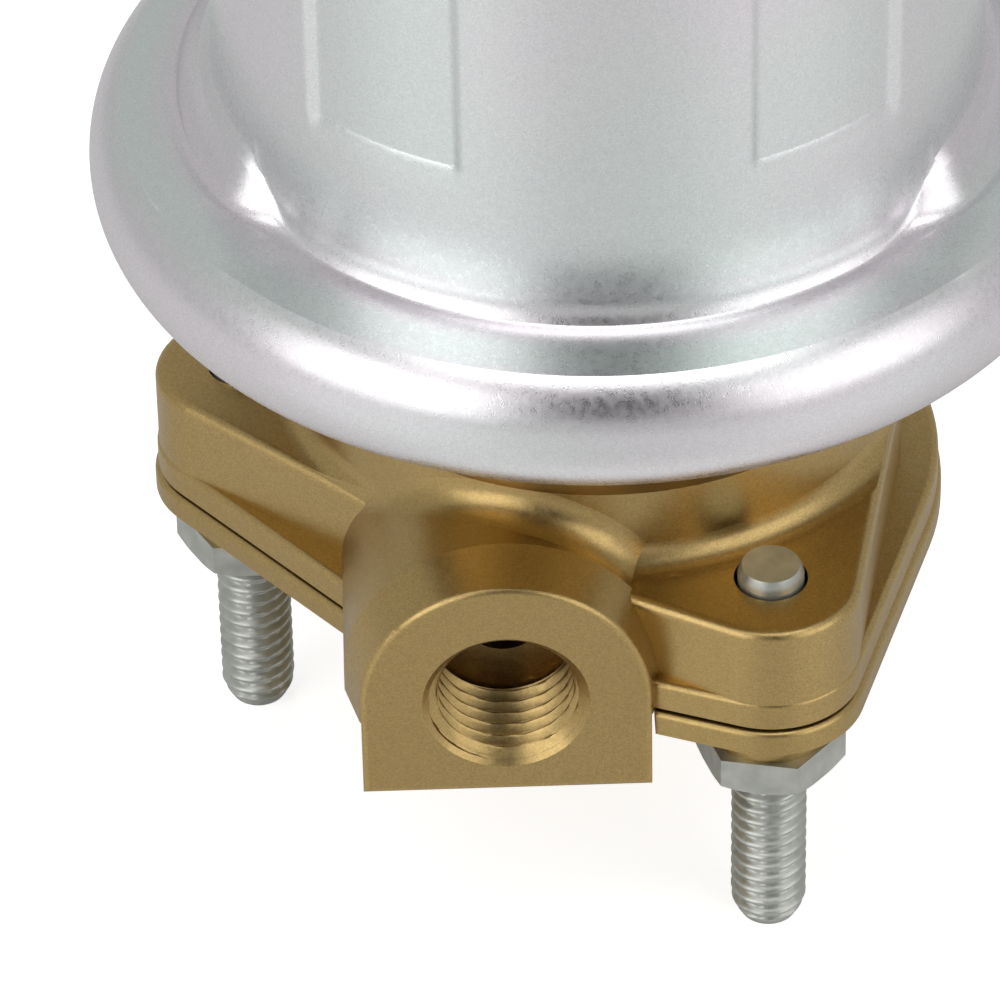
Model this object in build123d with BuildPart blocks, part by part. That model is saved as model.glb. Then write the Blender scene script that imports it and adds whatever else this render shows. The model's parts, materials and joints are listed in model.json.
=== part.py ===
from build123d import *
import math
import os

# Electric rotary-vane fuel pump. All sizes in mm, +Z up. The origin is the centre of the stud circle
# on the plane of the stud tips, so the pump stands on its three studs. The front port faces -Y.
os.makedirs("parts", exist_ok=True)

# mounting studs and nuts
stud_r = 3.175
stud_circle_r = 30.4
stud_angles = [175, 295, 55]
stud_grip_r = stud_r - 0.025
stud_thread_top = 31.0
stud_shank_r = 2.75
stud_proud = 1.4
nut_flats = 11.11
nut_h = 3.2
nut_bottom = 17.6
nut_turns = [0, 12, 20]
nut_chamfer = 0.45
fit_gap = 0.02

# heights of the cover plate and the casting
lip_bottom = 24.0
plate_top = 26.2
gasket_t = 0.4
bottom_flange_h = 2.6
chamber_h = 10.4
seal_pocket_h = 5.6
cup_lift = 7.4
hub_h = 8.0
cast_bottom = plate_top + gasket_t
flange_top = cast_bottom + bottom_flange_h
pad_top = 36.5
chamber_top = cast_bottom + chamber_h
seal_top = chamber_top + seal_pocket_h
cup_floor = seal_top + cup_lift
hub_top = cup_floor + hub_h
drum_top = 46.0
neck_top = 55.0
rim_flange_bottom = 57.6
rim_shoulder_z = 62.2
rim_flange_top = 64.9

# rotor, vanes and cam ring
rotor_r = 15.2
ring_shift = 1.6
ring_gap = 0.16
ring_wall = 2.54
ring_bore_r = rotor_r + ring_shift + ring_gap
ring_r = ring_bore_r + ring_shift + ring_wall
vane_t = 2.4
vane_len = 6.4
vane_gap = 0.04
vane_tip_r = 2.0
slot_floor_r = rotor_r - vane_len - 0.3
end_gap = 0.05

# die-cast pump casting, built outwards from the cam ring
chamber_r = ring_r + 0.1
chamber_wall = 4.3
drum_r = chamber_r + chamber_wall
flange_r = drum_r + 3.2
lobe_r = 7.5
cove_r = 2.2
hub_r = 10.5
cup_r = drum_r - 2.5

# cover plate and gasket
plate_grow = 0.3
boss_r = 5.3
gasket_inset = 0.7
gasket_in_r = chamber_r + 0.6

# ports
port_x = -9.1
port_z = 28.5
port_reach = 7.6
port_face = drum_r + port_reach
block_half = 11.95
block_drop = 9.4
block_flare = 1.3
block_blend = 2.6
flare_len = 4.6
port_bore_r = 6.5
port_mouth_r = port_bore_r + 0.4
port_throat_r = 3.2
throat_z = 30.2
skirt_in = drum_r - 1.9
bore_end_wall = 0.9
window_angle = math.degrees(math.acos(port_x / chamber_r))
window_w = 8.0
window_h = 6.0

# relief valve, on a circle between hub and cup wall
relief_x = -11.3
relief_y = -11.3
relief_seat_r = 2.2
relief_seat_z = chamber_top + 4.0
relief_bore_r = 4.0
relief_ball_r = 3.2
relief_boss_r = 6.4
relief_boss_top = cup_floor + 6.0
relief_plug_h = 3.5
relief_socket = 2.3
relief_coil_r = 2.2
relief_wire_r = 0.35
relief_spring_lift = 2.47
relief_cross_r = 1.8
relief_cross_z = chamber_top + 9.0

# shaft, bushes and seal
shaft_r = 4.0
shaft_flat = 3.3
shaft_bottom = cast_bottom + 0.1
run_gap = 0.03
bush_r = 7.0
bush_h = 7.0
seal_r = 8.0
washer_r = 6.8
washer_t = 0.8

# motor can: wall, end boss, and the rolled rim round the casting's flange
can_r = 31.5
can_wall = 1.2
can_top = 138.0
seal_ring_t = 0.3
can_corner = 7.0
can_boss_r = 9.5
can_boss_h = 5.5
boss_top = can_top + can_boss_h
boss_roof = 1.5
upper_bush_z = can_top - 2.0
shaft_top = boss_top - 3.0

# foot of the can wall: a slight flare and a small cove down to the crease, where the shelf starts
flare_top = 77.5
flare_r = can_r + 0.15
cove_h = 2.0
crease_r = can_r + 0.8
shelf_in_r = crease_r + 0.4
shelf_rise = 0.45

# rolled rim: flat shelf on top, round outside, curl underneath, built outwards from the can wall
rim_r = can_r + 10.5
rim_wall = 1.45
rim_mid_z = 60.7
rim_high_r = 5.92
rim_low_r = 4.4
edge_angle = 72.0
edge_r = rim_r - rim_high_r * (1 - math.cos(math.radians(edge_angle)))
edge_z = rim_mid_z + rim_high_r * math.sin(math.radians(edge_angle))
shelf_in_z = edge_z + shelf_rise
crease_z = shelf_in_z + 0.3
shelf_under = rim_flange_top + seal_ring_t
curl_z = rim_mid_z - rim_low_r
curl_r = rim_r - rim_low_r
curl_in_r = curl_r - 0.5
rim_flange_r = rim_r - rim_wall - 0.1
rim_shoulder_r = rim_flange_r - 2.55
rim_chamfer_r = rim_flange_r - 1.7
rim_chamfer_z = rim_flange_bottom + 3.0
neck_r = rim_flange_r - 6.2
neck_out = 2.6

# raised side lands and pressed panels of the can; angles are half angles from the front
land_turn = -3.0
land_in_r = can_r + 1.1
land_in_z = shelf_in_z + 4.2
land_out_r = can_r + 3.9
land_out_z = edge_z + 1.9
land_tip_half = 59.0
land_foot_half = 52.0
land_fade_half = 46.0
land_mid_half = 30.0
panel_turn = -0.7
panel_bottom = 80.3
panel_top = can_top - 10.0
panel_mid = 34.3
panel_half = 12.9
panel_depth = 0.5

# magnets and armature, built inwards from the can wall
magnet_r = can_r - can_wall - 0.3
magnet_t = 5.4
magnet_in_r = magnet_r - magnet_t
magnet_half = 62.0
magnet_z = [74.0, 112.0]
clip_t = 0.8
clip_inset = 8.0
air_gap = 0.7
core_r = magnet_in_r - air_gap
core_z = [78.0, 108.0]
slots = 12
comm_r = core_r - 13.4
slot_in_r = comm_r + 1.5
slot_in_half = 1.5
slot_out_r = core_r - 3.4
slot_out_half = 2.9
slot_mouth_half = 0.9
wire_gap = 0.1
winding_r = core_r - 1.6
winding_in_r = 8.0
winding_low = core_z[0] - 8.0
winding_high = core_z[1] + 7.0
comm_h = 10.0
comm_z = [winding_high + 2.0, winding_high + 2.0 + comm_h]
comm_slot = 0.6
riser_h = 1.2
brush_w = 6.0
brush_h = 7.0
brush_len = 10.0
brush_coil_r = 2.3
brush_wire_r = 0.35
holder_start = comm_r + 2.5
brush_travel = 3.0
brush_room = brush_travel + 2.4
holder_wall = 1.0
card_z = comm_z[1] + 2.0
card_t = 2.0
card_r = can_r - can_wall - 0.9
card_hole_r = 8.0
card_post_r = 2.4
card_post_at = card_r - 7.9
terminal_x = 19.0
terminal_r = 2.413
terminal_grip_r = terminal_r - 0.025
terminal_bottom = card_z + card_t
terminal_top = can_top + 14.0
terminal_hole_r = 4.0
terminal_nut_flats = 8.0
terminal_nut_h = 3.2
insulator_r = 5.5
insulator_t = 1.5


def on_circle(radius, angle):
    return radius * math.cos(math.radians(angle)), radius * math.sin(math.radians(angle))


# A plain cylinder standing on z = bottom
def post(radius, bottom, top, mode=Mode.ADD):
    with Locations((0, 0, bottom)):
        Cylinder(radius, top - bottom, align=(Align.CENTER, Align.CENTER, Align.MIN), mode=mode)


def plain_ring(outer, inner, bottom, top):
    with BuildPart() as ring:
        post(outer, bottom, top)
        post(inner, bottom - 1, top + 1, Mode.SUBTRACT)
    return ring.part


# Part of a ring, centred on one direction and reaching the same angle to each side of it
def ring_sector(outer, inner, middle, half, bottom, top):
    with BuildPart() as sector:
        with BuildSketch(Plane.XY.offset(bottom)):
            Circle(outer)
            Circle(inner, mode=Mode.SUBTRACT)
            corners = [(0, 0)]
            for share in (-1, -0.33, 0.33, 1):
                corners.append(on_circle(2 * outer, middle + half * share))
            Polygon(*corners, align=None, mode=Mode.INTERSECT)
        extrude(amount=top - bottom)
    return sector.part


# Hexagon nut standing on z = 0, with chamfered corners at the top
def hex_nut(flats, height, hole, turn):
    corner = flats / math.sqrt(3)
    with BuildPart() as nut:
        with BuildSketch():
            RegularPolygon(corner, 6, rotation=turn)
        extrude(amount=height)
        with BuildSketch(Plane.XZ):
            Polygon(
                (0, 0),
                (corner + 0.1, 0),
                (corner + 0.1, height - nut_chamfer),
                (flats / 2 + 0.1, height),
                (0, height),
                align=None,
            )
        revolve(axis=Axis.Z, mode=Mode.INTERSECT)
        post(hole, -1, height + 1, Mode.SUBTRACT)
    return nut.part


# Coil spring standing on z = 0, wound round Z in short straight steps
def coil_spring(coil_r, wire_r, length, turns):
    rise = length - 2 * wire_r
    steps = 10
    points = []
    for step in range(turns * steps + 1):
        x, y = on_circle(coil_r, step * 360 / steps)
        points.append((x, y, wire_r + rise * step / (turns * steps)))
    with BuildPart() as spring:
        with BuildLine() as path:
            Polyline(*points)
        with BuildSketch(Plane(origin=path.line @ 0, z_dir=path.line % 0)):
            RegularPolygon(wire_r, 6)
        sweep(transition=Transition.RIGHT)
    return spring.part


def finish(part, name):
    part.label = name
    export_step(part, "parts/" + name + ".step")


stud_points = [on_circle(stud_circle_r, a) for a in stud_angles]
bore_depth = port_face - skirt_in - bore_end_wall
throat_from = math.sqrt(chamber_r**2 - (abs(port_x) + port_throat_r) ** 2) - 0.3


# Outline of round body, lobes and the straight webs that run tangent to both.
def lobed_sketch(body_r, lobe):
    spread = math.degrees(math.acos((body_r - lobe) / stud_circle_r))
    Circle(body_r)
    for angle in stud_angles:
        cx, cy = on_circle(stud_circle_r, angle)
        corners = []
        for side in (-1, 1):
            nx, ny = on_circle(1, angle + side * spread)
            corners.append((body_r * nx, body_r * ny))
            corners.append((cx + lobe * nx, cy + lobe * ny))
        Polygon(corners[0], corners[1], corners[3], corners[2], align=None)
        with Locations((cx, cy)):
            Circle(lobe)


# D-shaped section of a port block, round at the top and flat below.
def block_sketch(half, drop):
    Circle(half)
    with Locations((0, -drop / 2)):
        Rectangle(2 * half, drop)
    with Locations((0, -drop - half)):
        Rectangle(4 * half, 2 * half, mode=Mode.SUBTRACT)


def block_plane(side, distance):
    return Plane(origin=(port_x, side * distance, port_z), x_dir=(-side, 0, 0), z_dir=(0, side, 0))

# Pump casting. First the lobes, webs and thin bottom flange, with rounded top edges.
with BuildPart() as lobe_body:
    with BuildSketch(Plane.XY.offset(cast_bottom)):
        lobed_sketch(flange_r, lobe_r + 0.15)
    extrude(amount=flange_top - cast_bottom)
    fillet(lobe_body.faces().sort_by(Axis.Z)[-1].edges(), 0.6)
    with BuildSketch(Plane.XY.offset(cast_bottom)):
        lobed_sketch(drum_r, lobe_r)
    extrude(amount=pad_top - cast_bottom)
    fillet(lobe_body.faces().sort_by(Axis.Z)[-1].edges(), 0.9)

# Cove where the drum rises out of the pads
with BuildPart() as cove_ring:
    with BuildSketch(Plane.XZ):
        with BuildLine():
            Line((drum_r - 1, pad_top - 0.5), (drum_r + cove_r, pad_top - 0.5))
            Line((drum_r + cove_r, pad_top - 0.5), (drum_r + cove_r, pad_top))
            RadiusArc((drum_r + cove_r, pad_top), (drum_r, pad_top + cove_r), cove_r)
            Line((drum_r, pad_top + cove_r), (drum_r - 1, pad_top + cove_r))
            Line((drum_r - 1, pad_top + cove_r), (drum_r - 1, pad_top - 0.5))
        make_face()
    revolve(axis=Axis.Z)
    with BuildSketch(Plane.XY.offset(pad_top - 0.5)):
        lobed_sketch(drum_r, lobe_r - 1.0)
    extrude(amount=cove_r + 0.5, mode=Mode.INTERSECT)


# One port block: flared front part with a rounded face, then a straight part back into the drum.
# Below the parting plane only the narrow part under the face is left.
def port_block(side):
    with BuildPart() as block:
        with BuildSketch(block_plane(side, port_face)):
            block_sketch(block_half, block_drop)
        extrude(amount=-flare_len, taper=-math.degrees(math.atan(block_flare / flare_len)))
        fillet(block.faces().sort_by(Axis.Y)[-1 if side > 0 else 0].edges(), 0.7)
        with BuildSketch(block_plane(side, port_face - flare_len)):
            block_sketch(block_half + block_flare, block_drop + block_flare)
        extrude(amount=-(port_face - flare_len - 5))
    return block.part


# Drum with both blocks, blended where they meet
with BuildPart() as drum:
    post(drum_r, 10, drum_top)
    add(port_block(-1))
    add(port_block(1))
    meeting = drum.edges().filter_by(
        lambda e: abs(math.hypot(e.center().X, e.center().Y) - drum_r) < 0.6
        and port_z - block_drop - block_flare + 0.5 < e.center().Z < drum_top - 0.5
        and abs(e.center().X - port_x) < block_half + 2 * block_flare
    )
    fillet(meeting, block_blend)

# Room below the parting plane that the cover plate needs, and what lies beside and under the narrow blocks
with BuildPart() as below:
    with BuildSketch(Plane.XY):
        Circle(70)
        for side in (-1, 1):
            with Locations((port_x, side * (skirt_in + port_face + 5) / 2)):
                Rectangle(2 * block_half, port_face + 5 - skirt_in, mode=Mode.SUBTRACT)
    extrude(amount=cast_bottom)
    with BuildSketch(Plane.XY):
        Circle(70)
    extrude(amount=port_z - block_drop)

with BuildPart() as pump_casting:
    add(drum.part)
    add(below.part, mode=Mode.SUBTRACT)
    add(lobe_body.part)
    add(cove_ring.part)
    # neck and the flange the can is crimped on to
    with BuildSketch(Plane.XZ):
        with BuildLine():
            Polyline(
                (0, drum_top - 2),
                (drum_r, drum_top - 2),
                (neck_r, neck_top),
                (neck_r + neck_out, rim_flange_bottom),
                (rim_chamfer_r, rim_flange_bottom),
                (rim_flange_r, rim_chamfer_z),
                (rim_flange_r, rim_shoulder_z),
                (rim_shoulder_r, rim_flange_top),
                (0, rim_flange_top),
                (0, drum_top - 2),
            )
        make_face()
    revolve(axis=Axis.Z)
    # open cup on the motor side, round the bearing hub and the relief valve boss
    with BuildSketch(Plane.XY.offset(cup_floor)):
        Circle(cup_r)
        Circle(hub_r, mode=Mode.SUBTRACT)
        with Locations((relief_x, relief_y)):
            Circle(relief_boss_r, mode=Mode.SUBTRACT)
    extrude(amount=rim_flange_top - cup_floor, mode=Mode.SUBTRACT)
    post(cup_r, hub_top, rim_flange_top + 1, Mode.SUBTRACT)
    with BuildSketch(Plane.XY.offset(relief_boss_top)):
        Circle(cup_r)
        Circle(hub_r, mode=Mode.SUBTRACT)
    extrude(amount=rim_flange_top - relief_boss_top, mode=Mode.SUBTRACT)
    # pump chamber, shaft seal pocket, shaft hole and bush pocket
    for radius, bottom, top in (
        (chamber_r, cast_bottom - 1, chamber_top),
        (seal_r, chamber_top - 1, seal_top),
        (shaft_r + 0.4, seal_top - 1, hub_top + 1),
        (bush_r, hub_top - bush_h, hub_top + 1),
    ):
        post(radius, bottom, top, Mode.SUBTRACT)
    # relief valve: seat hole, ball bore, return drilling and its way down to the inlet side
    for x, y, radius, bottom, top in (
        (relief_x, relief_y, relief_seat_r, chamber_top - 1, relief_seat_z + 1),
        (relief_x, relief_y, relief_bore_r, relief_seat_z, relief_boss_top + 1),
        (relief_x, -relief_y, relief_seat_r, chamber_top - 1, relief_cross_z),
    ):
        with Locations((x, y, 0)):
            post(radius, bottom, top, Mode.SUBTRACT)
    with Locations((relief_x, 0, relief_cross_z)):
        Cylinder(relief_cross_r, 2 * abs(relief_y), rotation=(90, 0, 0), mode=Mode.SUBTRACT)
    # stud holes: threaded at the bottom, clear round the shank above
    for x, y in stud_points:
        with Locations((x, y, 0)):
            post(stud_shank_r + 0.3, cast_bottom - 1, pad_top + 1, Mode.SUBTRACT)
            post(stud_r + fit_gap, cast_bottom - 1, stud_thread_top, Mode.SUBTRACT)
    # both ports: countersunk mouth and bore at the thread's root, then the throat into the chamber
    mouth = port_mouth_r - port_bore_r
    for side in (-1, 1):
        plane = Plane(origin=(port_x, side * port_face, port_z), x_dir=(1, 0, 0), z_dir=(0, 0, side))
        with BuildSketch(plane):
            Polygon(
                (0, 1),
                (port_mouth_r + 1, 1),
                (port_bore_r, -mouth),
                (port_bore_r, 0.6 - bore_depth),
                (port_bore_r - 0.6, -bore_depth),
                (0, -bore_depth),
                align=None,
            )
        revolve(axis=Axis((port_x, side * port_face, port_z), (0, 1, 0)), mode=Mode.SUBTRACT)
        throat_to = port_face - bore_depth + 0.5
        with Locations((port_x, side * (throat_from + throat_to) / 2, throat_z)):
            Cylinder(port_throat_r, throat_to - throat_from, rotation=(90, 0, 0), mode=Mode.SUBTRACT)
finish(pump_casting.part, "pump_casting")


# Cover plate: lobed outline with a rounded top edge, bosses that the nuts bear on, and straight
# cuts where the port blocks reach down past it
with BuildPart() as cover_plate:
    with BuildSketch(Plane.XY.offset(lip_bottom)):
        lobed_sketch(flange_r + plate_grow, lobe_r + 0.15 + plate_grow)
    extrude(amount=plate_top - lip_bottom)
    fillet(cover_plate.faces().sort_by(Axis.Z)[-1].edges(), 0.6)
    for x, y in stud_points:
        with Locations((x, y, 0)):
            post(boss_r, nut_bottom + nut_h, plate_top - 0.1)
    for x, y in stud_points:
        with Locations((x, y, 0)):
            post(stud_r + 0.15, nut_bottom, plate_top + 1, Mode.SUBTRACT)
    for side in (-1, 1):
        with Locations((port_x, side * (skirt_in - 0.3 + 10), plate_top - 2)):
            Box(2 * block_half + 0.6, 20, 12, mode=Mode.SUBTRACT)
finish(cover_plate.part, "cover_plate")


# Thin gasket between plate and casting, open over the pump chamber
with BuildPart() as cover_gasket:
    with BuildSketch(Plane.XY.offset(plate_top)):
        lobed_sketch(flange_r - gasket_inset, lobe_r + 0.15 - gasket_inset)
        Circle(gasket_in_r, mode=Mode.SUBTRACT)
        for side in (-1, 1):
            with Locations((port_x, side * (skirt_in - 0.6 + 10))):
                Rectangle(2 * block_half + 1.2, 20, mode=Mode.SUBTRACT)
        with Locations(*stud_points):
            Circle(stud_r + 0.2, mode=Mode.SUBTRACT)
    extrude(amount=gasket_t)
finish(cover_gasket.part, "cover_gasket")


# Studs: tapered lower end, free length, a hair slimmer where nut, plate and casting grip them, then a
# plain shank that ends proud of the pad
with BuildPart() as one_stud:
    with BuildSketch(Plane.XZ):
        Polygon(
            (0, 0),
            (2.3, 0),
            (stud_r, 3.0),
            (stud_r, nut_bottom),
            (stud_grip_r, nut_bottom),
            (stud_grip_r, stud_thread_top - fit_gap),
            (stud_shank_r, stud_thread_top - fit_gap),
            (stud_shank_r, pad_top + stud_proud - 0.6),
            (2.4, pad_top + stud_proud),
            (0, pad_top + stud_proud),
            align=None,
        )
    revolve(axis=Axis.Z)
with BuildPart() as mounting_studs:
    with Locations(*[(x, y, 0) for x, y in stud_points]):
        add(one_stud.part)
finish(mounting_studs.part, "mounting_studs")

# Nuts under the cover, chamfered side down
with BuildPart() as stud_nuts:
    for point, turn in zip(stud_points, nut_turns):
        with Locations(Location((point[0], point[1], nut_bottom + nut_h), (180, 0, 0))):
            add(hex_nut(nut_flats, nut_h, stud_r + fit_gap, turn))
finish(stud_nuts.part, "stud_nuts")


# Cam ring: its bore is shifted to -X, and a window on each side leads to the ports
with BuildPart() as cam_ring:
    post(ring_r, plate_top + 0.02, chamber_top - 0.03)
    with Locations((-ring_shift, 0, 0)):
        post(ring_bore_r, plate_top - 1, chamber_top + 1, Mode.SUBTRACT)
    for angle in (window_angle, -window_angle):
        x, y = on_circle((ring_r + rotor_r) / 2, angle)
        with Locations(Location((x, y, throat_z), (0, 0, angle))):
            Box(ring_r - rotor_r + 3, window_w, window_h, mode=Mode.SUBTRACT)
finish(cam_ring.part, "cam_ring")


# Rotor with four slots, keyed to the flats of the shaft
with BuildPart() as pump_rotor:
    post(rotor_r, plate_top + end_gap, chamber_top - end_gap)
    with BuildSketch(Plane.XY.offset(plate_top - 1)):
        Circle(shaft_r + fit_gap)
        Rectangle(4 * shaft_r, 2 * (shaft_flat + fit_gap), mode=Mode.INTERSECT)
    extrude(amount=chamber_top - plate_top + 2, mode=Mode.SUBTRACT)
    for angle in (0, 90, 180, 270):
        x, y = on_circle((slot_floor_r + rotor_r + 2) / 2, angle)
        with Locations(Location((x, y, (plate_top + chamber_top) / 2), (0, 0, angle))):
            Box(rotor_r + 2 - slot_floor_r, vane_t + 2 * vane_gap, 2 * chamber_h, mode=Mode.SUBTRACT)
finish(pump_rotor.part, "pump_rotor")


# One vane, pushed in level with the rotor, with a rounded tip
def vane(angle):
    with BuildPart() as blade:
        with BuildSketch(Plane.XY.offset(plate_top + end_gap)):
            with Locations((rotor_r - vane_tip_r, 0)):
                Circle(vane_tip_r)
            Rectangle(4 * rotor_r, vane_t, mode=Mode.INTERSECT)
            with Locations((rotor_r - (vane_len + vane_tip_r) / 2, 0)):
                Rectangle(vane_len - vane_tip_r, vane_t)
        extrude(amount=chamber_top - plate_top - 2 * end_gap)
    return blade.part.rotate(Axis.Z, angle)


for number, angle in ((1, 90), (2, 180), (3, 270), (4, 0)):
    finish(vane(angle), "vane_" + str(number))


# Relief valve: ball on its seat, spring on the ball, plug with a hexagon socket over the spring
ball_z = relief_seat_z + math.sqrt(relief_ball_r**2 - relief_seat_r**2) + 0.01
with BuildPart() as relief_ball:
    with Locations((relief_x, relief_y, ball_z)):
        Sphere(relief_ball_r)
finish(relief_ball.part, "relief_ball")

plug_top = relief_boss_top - 0.5
spring_bottom = ball_z + relief_spring_lift
with BuildPart() as relief_spring:
    with Locations((relief_x, relief_y, spring_bottom)):
        add(coil_spring(relief_coil_r, relief_wire_r, plug_top - relief_plug_h - spring_bottom - 0.02, 4))
finish(relief_spring.part, "relief_spring")

with BuildPart() as relief_plug:
    with Locations((relief_x, relief_y, 0)):
        post(relief_bore_r - fit_gap, plug_top - relief_plug_h, plug_top)
    with BuildSketch(Plane.XY.offset(plug_top - 2.2)):
        with Locations((relief_x, relief_y)):
            RegularPolygon(relief_socket, 6)
    extrude(amount=3, mode=Mode.SUBTRACT)
finish(relief_plug.part, "relief_plug")


# Lip seal under the bush, open towards the pump chamber
with BuildPart() as shaft_seal:
    with BuildSketch(Plane.XZ):
        Polygon(
            (shaft_r + 0.05, chamber_top + 0.1),
            (shaft_r + 1.2, seal_top - 1.6),
            (shaft_r + 1.2, seal_top - fit_gap),
            (seal_r - fit_gap, seal_top - fit_gap),
            (seal_r - fit_gap, chamber_top + 0.1),
            (seal_r - 1.2, chamber_top + 0.1),
            (seal_r - 1.2, seal_top - 1.8),
            (shaft_r + 2.0, seal_top - 1.8),
            align=None,
        )
    revolve(axis=Axis.Z)
finish(shaft_seal.part, "shaft_seal")

finish(plain_ring(bush_r - fit_gap, shaft_r + run_gap, hub_top - bush_h, hub_top), "lower_bush")
finish(plain_ring(bush_r - fit_gap, shaft_r + run_gap, upper_bush_z, boss_top - boss_roof), "upper_bush")


# Shaft with two flats for the rotor
with BuildPart() as armature_shaft:
    post(shaft_r, shaft_bottom, shaft_top)
    for side in (-1, 1):
        with Locations((0, side * (shaft_flat + shaft_r), shaft_bottom)):
            Box(4 * shaft_r, 2 * shaft_r, 2 * (chamber_top - shaft_bottom), mode=Mode.SUBTRACT)
finish(armature_shaft.part, "armature_shaft")

with BuildPart() as thrust_washers:
    for bottom in (hub_top + end_gap, upper_bush_z - end_gap - washer_t):
        add(plain_ring(washer_r, shaft_r + fit_gap, bottom, bottom + washer_t))
finish(thrust_washers.part, "thrust_washers")


# Laminated core with slots, and the winding that fills them and bulges at both ends
with BuildPart() as armature_core:
    with BuildSketch(Plane.XY.offset(core_z[0])):
        Circle(core_r)
        Circle(shaft_r + fit_gap, mode=Mode.SUBTRACT)
        with PolarLocations(0, slots):
            Polygon(
                (slot_in_r, -slot_in_half),
                (slot_in_r, slot_in_half),
                (slot_out_r, slot_out_half),
                (slot_out_r, -slot_out_half),
                align=None,
                mode=Mode.SUBTRACT,
            )
            Polygon(
                (slot_out_r - 0.5, -slot_mouth_half),
                (slot_out_r - 0.5, slot_mouth_half),
                (core_r + 1, slot_mouth_half),
                (core_r + 1, -slot_mouth_half),
                align=None,
                mode=Mode.SUBTRACT,
            )
    extrude(amount=core_z[1] - core_z[0])
finish(armature_core.part, "armature_core")

with BuildPart() as armature_winding:
    with BuildSketch(Plane.XY.offset(core_z[0] - 1)):
        with PolarLocations(0, slots):
            Polygon(
                (slot_in_r + wire_gap, wire_gap - slot_in_half),
                (slot_in_r + wire_gap, slot_in_half - wire_gap),
                (slot_out_r - wire_gap, slot_out_half - 1.5 * wire_gap),
                (slot_out_r - wire_gap, 1.5 * wire_gap - slot_out_half),
                align=None,
            )
    extrude(amount=core_z[1] - core_z[0] + 2)
    with BuildSketch(Plane.XZ):
        Polygon(
            (winding_in_r, core_z[0]),
            (winding_in_r, winding_low + 1.5),
            (winding_in_r + 1.5, winding_low),
            (winding_r - 2.8, winding_low),
            (winding_r, winding_low + 2.5),
            (winding_r, core_z[0]),
            align=None,
        )
        Polygon(
            (shaft_r + 1, core_z[1]),
            (shaft_r + 1, comm_z[0]),
            (comm_r - 1.2, comm_z[0]),
            (comm_r - 1.2, winding_high),
            (winding_r - 2.8, winding_high),
            (winding_r, winding_high - 2.5),
            (winding_r, core_z[1]),
            align=None,
        )
    revolve(axis=Axis.Z)
finish(armature_winding.part, "armature_winding")

with BuildPart() as commutator:
    post(comm_r + 0.9, comm_z[0], comm_z[0] + riser_h)
    post(comm_r, comm_z[0], comm_z[1])
    with PolarLocations(comm_r, slots):
        with Locations((0, 0, (comm_z[0] + comm_z[1]) / 2)):
            Box(2.4, comm_slot, comm_h + 2, mode=Mode.SUBTRACT)
    post(shaft_r + fit_gap, comm_z[0] - 1, comm_z[1] + 1, Mode.SUBTRACT)
finish(commutator.part, "commutator")


# Brushes with a hollow face that follows the commutator, and their springs
brush_z = (comm_z[0] + comm_z[1]) / 2
brush_in = comm_r + 0.1
brush_out = brush_in + brush_len
holder_end = brush_out + brush_room
spring_len = brush_room - 0.1


def brush(side):
    with BuildPart() as block:
        inner = brush_in / 2
        with Locations((side * (brush_out + inner) / 2, 0, brush_z)):
            Box(brush_out - inner, brush_w, brush_h)
        post(brush_in, comm_z[0], comm_z[1], Mode.SUBTRACT)
    return block.part


finish(brush(-1), "brush_left")
finish(brush(1), "brush_right")
for side, name in ((-1, "brush_spring_left"), (1, "brush_spring_right")):
    spring = coil_spring(brush_coil_r, brush_wire_r, spring_len, 3)
    with BuildPart() as placed:
        with Locations(Location((side * (brush_out + 0.05), 0, brush_z), (0, side * 90, 0))):
            add(spring)
    finish(placed.part, name)


# Brush card: a disc under the can top, with a box for each brush hanging from it
with BuildPart() as brush_card:
    post(card_r, card_z, card_z + card_t)
    with PolarLocations(card_post_at, 4, start_angle=45):
        post(card_post_r, card_z, can_top - can_wall)
    for side in (-1, 1):
        length = holder_end + holder_wall - holder_start
        middle = side * (holder_start + length / 2)
        low = brush_z - brush_h / 2 - holder_wall - 0.1
        with Locations((middle, 0, (low + card_z) / 2)):
            Box(length, brush_w + 2 * holder_wall + 0.2, card_z - low)
        with Locations((side * (holder_start + holder_end - 2) / 2, 0, brush_z)):
            Box(holder_end - holder_start + 2, brush_w + 0.2, brush_h + 0.2, mode=Mode.SUBTRACT)
    post(card_hole_r, card_z - 1, card_z + card_t + 1, Mode.SUBTRACT)
finish(brush_card.part, "brush_card")


# Two field magnets, and the spring clips that press them apart against the can
for name, middle in (("magnet_left", 180), ("magnet_right", 0)):
    finish(ring_sector(magnet_r, magnet_in_r, middle, magnet_half, magnet_z[0], magnet_z[1]), name)

clip_half = 90 - magnet_half - 0.3
with BuildPart() as magnet_clips:
    for middle in (90, 270):
        low = magnet_z[0] + clip_inset
        high = magnet_z[1] - clip_inset
        add(ring_sector(magnet_r, magnet_in_r + 1, middle, clip_half, low, high))
        hollow = ring_sector(magnet_r - clip_t, magnet_in_r, middle, clip_half - 1.6, low - 1, high + 1)
        add(hollow, mode=Mode.SUBTRACT)
finish(magnet_clips.part, "magnet_clips")


inner_top = can_top - can_wall
wall_in = can_r - can_wall

# Ring that the raised lands are cut from: a slanted strip over a shelf that slopes to the rim's edge
with BuildPart() as land_ring:
    with BuildSketch(Plane.XZ):
        Polygon(
            (wall_in + 0.6, land_in_z + 2.6),
            (flare_r - 0.1, land_in_z + 2.4),
            (land_in_r, land_in_z),
            (land_out_r, land_out_z),
            (edge_r, edge_z),
            (edge_r, edge_z - 0.7),
            (wall_in + 1.3, edge_z - 0.7),
            align=None,
        )
    revolve(axis=Axis.Z)


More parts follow.
